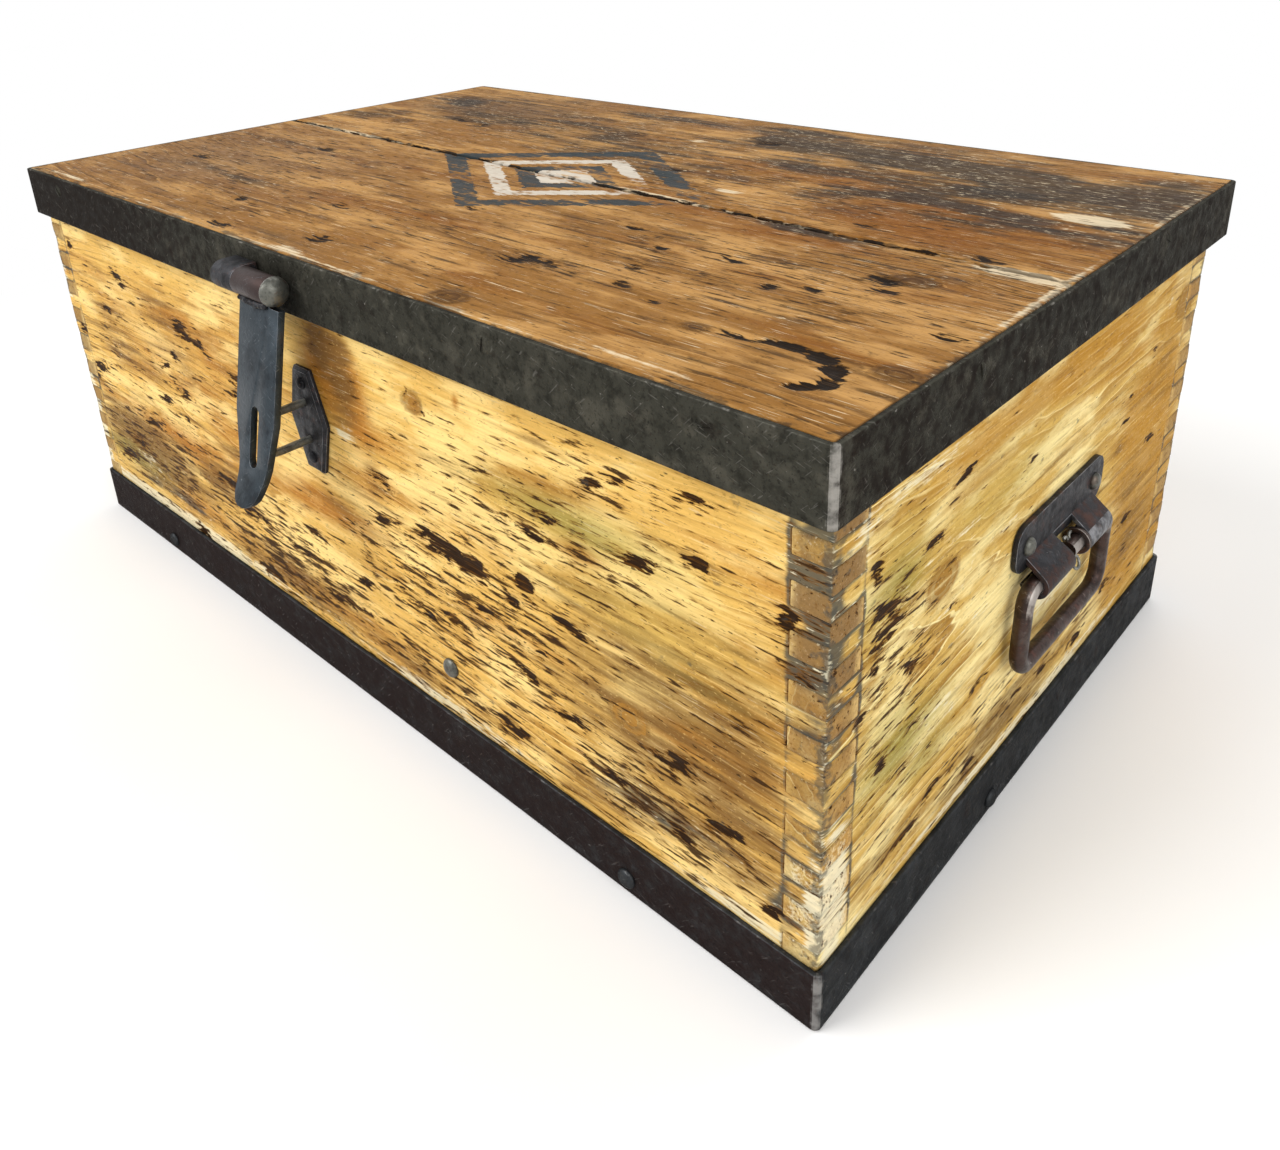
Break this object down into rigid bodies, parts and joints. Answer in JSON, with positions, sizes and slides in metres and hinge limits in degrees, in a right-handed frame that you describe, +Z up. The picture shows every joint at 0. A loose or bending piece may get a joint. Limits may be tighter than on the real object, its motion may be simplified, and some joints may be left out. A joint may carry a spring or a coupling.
{
  "type": "plank chest",
  "caption": "Rectangular pine chest with comb-jointed corners, flat iron strips round lid and foot, a hinged lid, a slotted hasp over a staple, and lifting bails on the ends.",
  "frame": {"origin": "middle of the box's footprint, on the floor", "axes": "+X from left to right along the front, +Y from the front to the back, +Z up"},
  "size_m": [0.8056, 0.5354, 0.319],
  "materials": {
    "body_pine": "old varnished pine, pitted and stained",
    "lid_pine": "dark waxed pine, scuffed",
    "bare_pine": "bare sawn pine",
    "strip_iron": "dark flat iron, worn at the bends",
    "hasp_steel": "dull blue-grey steel",
    "handle_iron": "dark iron with a little rust",
    "fastener_iron": "worn grey iron"
  },
  "bodies": {
    "box": {"front_board": "body_pine", "back_board": "body_pine", "left_end_board": "body_pine", "right_end_board": "body_pine", "bottom_plank_front": "bare_pine", "bottom_plank_middle": "bare_pine", "bottom_plank_back": "bare_pine", "bottom_strip": "strip_iron", "bottom_nail_front_1": "fastener_iron", "bottom_nail_front_2": "fastener_iron", "bottom_nail_left": "fastener_iron", "bottom_nail_right": "fastener_iron", "staple_plate": "handle_iron", "staple_loop": "handle_iron", "staple_nail_1": "fastener_iron", "staple_nail_2": "fastener_iron", "front_bolt": "fastener_iron", "left_hinge_box_leaf": "handle_iron", "left_hinge_pin": "fastener_iron", "left_hinge_box_screw_1": "fastener_iron", "left_hinge_box_screw_2": "fastener_iron", "left_handle_plate": "handle_iron", "left_handle_rivet_1": "fastener_iron", "left_handle_rivet_2": "fastener_iron", "right_hinge_box_leaf": "handle_iron", "right_hinge_pin": "fastener_iron", "right_hinge_box_screw_1": "fastener_iron", "right_hinge_box_screw_2": "fastener_iron", "right_handle_plate": "handle_iron", "right_handle_rivet_1": "fastener_iron", "right_handle_rivet_2": "fastener_iron"},
    "lid": {"lid_front_plank": "lid_pine", "lid_back_plank": "lid_pine", "lid_left_batten": "bare_pine", "lid_right_batten": "bare_pine", "lid_strip": "strip_iron", "lid_screw_front_1": "fastener_iron", "lid_screw_front_2": "fastener_iron", "lid_screw_front_3": "fastener_iron", "lid_screw_left_1": "fastener_iron", "lid_screw_left_2": "fastener_iron", "lid_screw_right_1": "fastener_iron", "lid_screw_right_2": "fastener_iron", "left_hinge_lid_leaf": "handle_iron", "left_hinge_lid_screw_1": "fastener_iron", "left_hinge_lid_screw_2": "fastener_iron", "right_hinge_lid_leaf": "handle_iron", "right_hinge_lid_screw_1": "fastener_iron", "right_hinge_lid_screw_2": "fastener_iron", "hasp_knuckle": "handle_iron", "hasp_pin": "fastener_iron"},
    "hasp": {"hasp_strap": "hasp_steel"},
    "right_bail": {"right_bail": "handle_iron", "right_handle_washer": "handle_iron", "right_handle_split_pin": "fastener_iron"},
    "left_bail": {"left_bail": "handle_iron", "left_handle_washer": "handle_iron", "left_handle_split_pin": "fastener_iron"}
  },
  "joints": [
    {"name": "lid_hinge", "type": "hinge", "parent": "box", "child": "lid", "pos_m": [0, 0.2298, 0.274], "axis": [-1, 0, 0], "range_deg": [0, 100]},
    {"name": "hasp_hinge", "type": "hinge", "parent": "lid", "child": "hasp", "pos_m": [0, -0.2425, 0.3], "axis": [-1, 0, 0], "range_deg": [-12.5, 165]},
    {"name": "right_bail_hinge", "type": "hinge", "parent": "box", "child": "right_bail", "pos_m": [0.3945, 0.0095, 0.155], "axis": [0, -1, 0], "range_deg": [-4, 165]},
    {"name": "left_bail_hinge", "type": "hinge", "parent": "box", "child": "left_bail", "pos_m": [-0.3945, 0.0095, 0.155], "axis": [0, 1, 0], "range_deg": [-4, 165]}
  ]
}
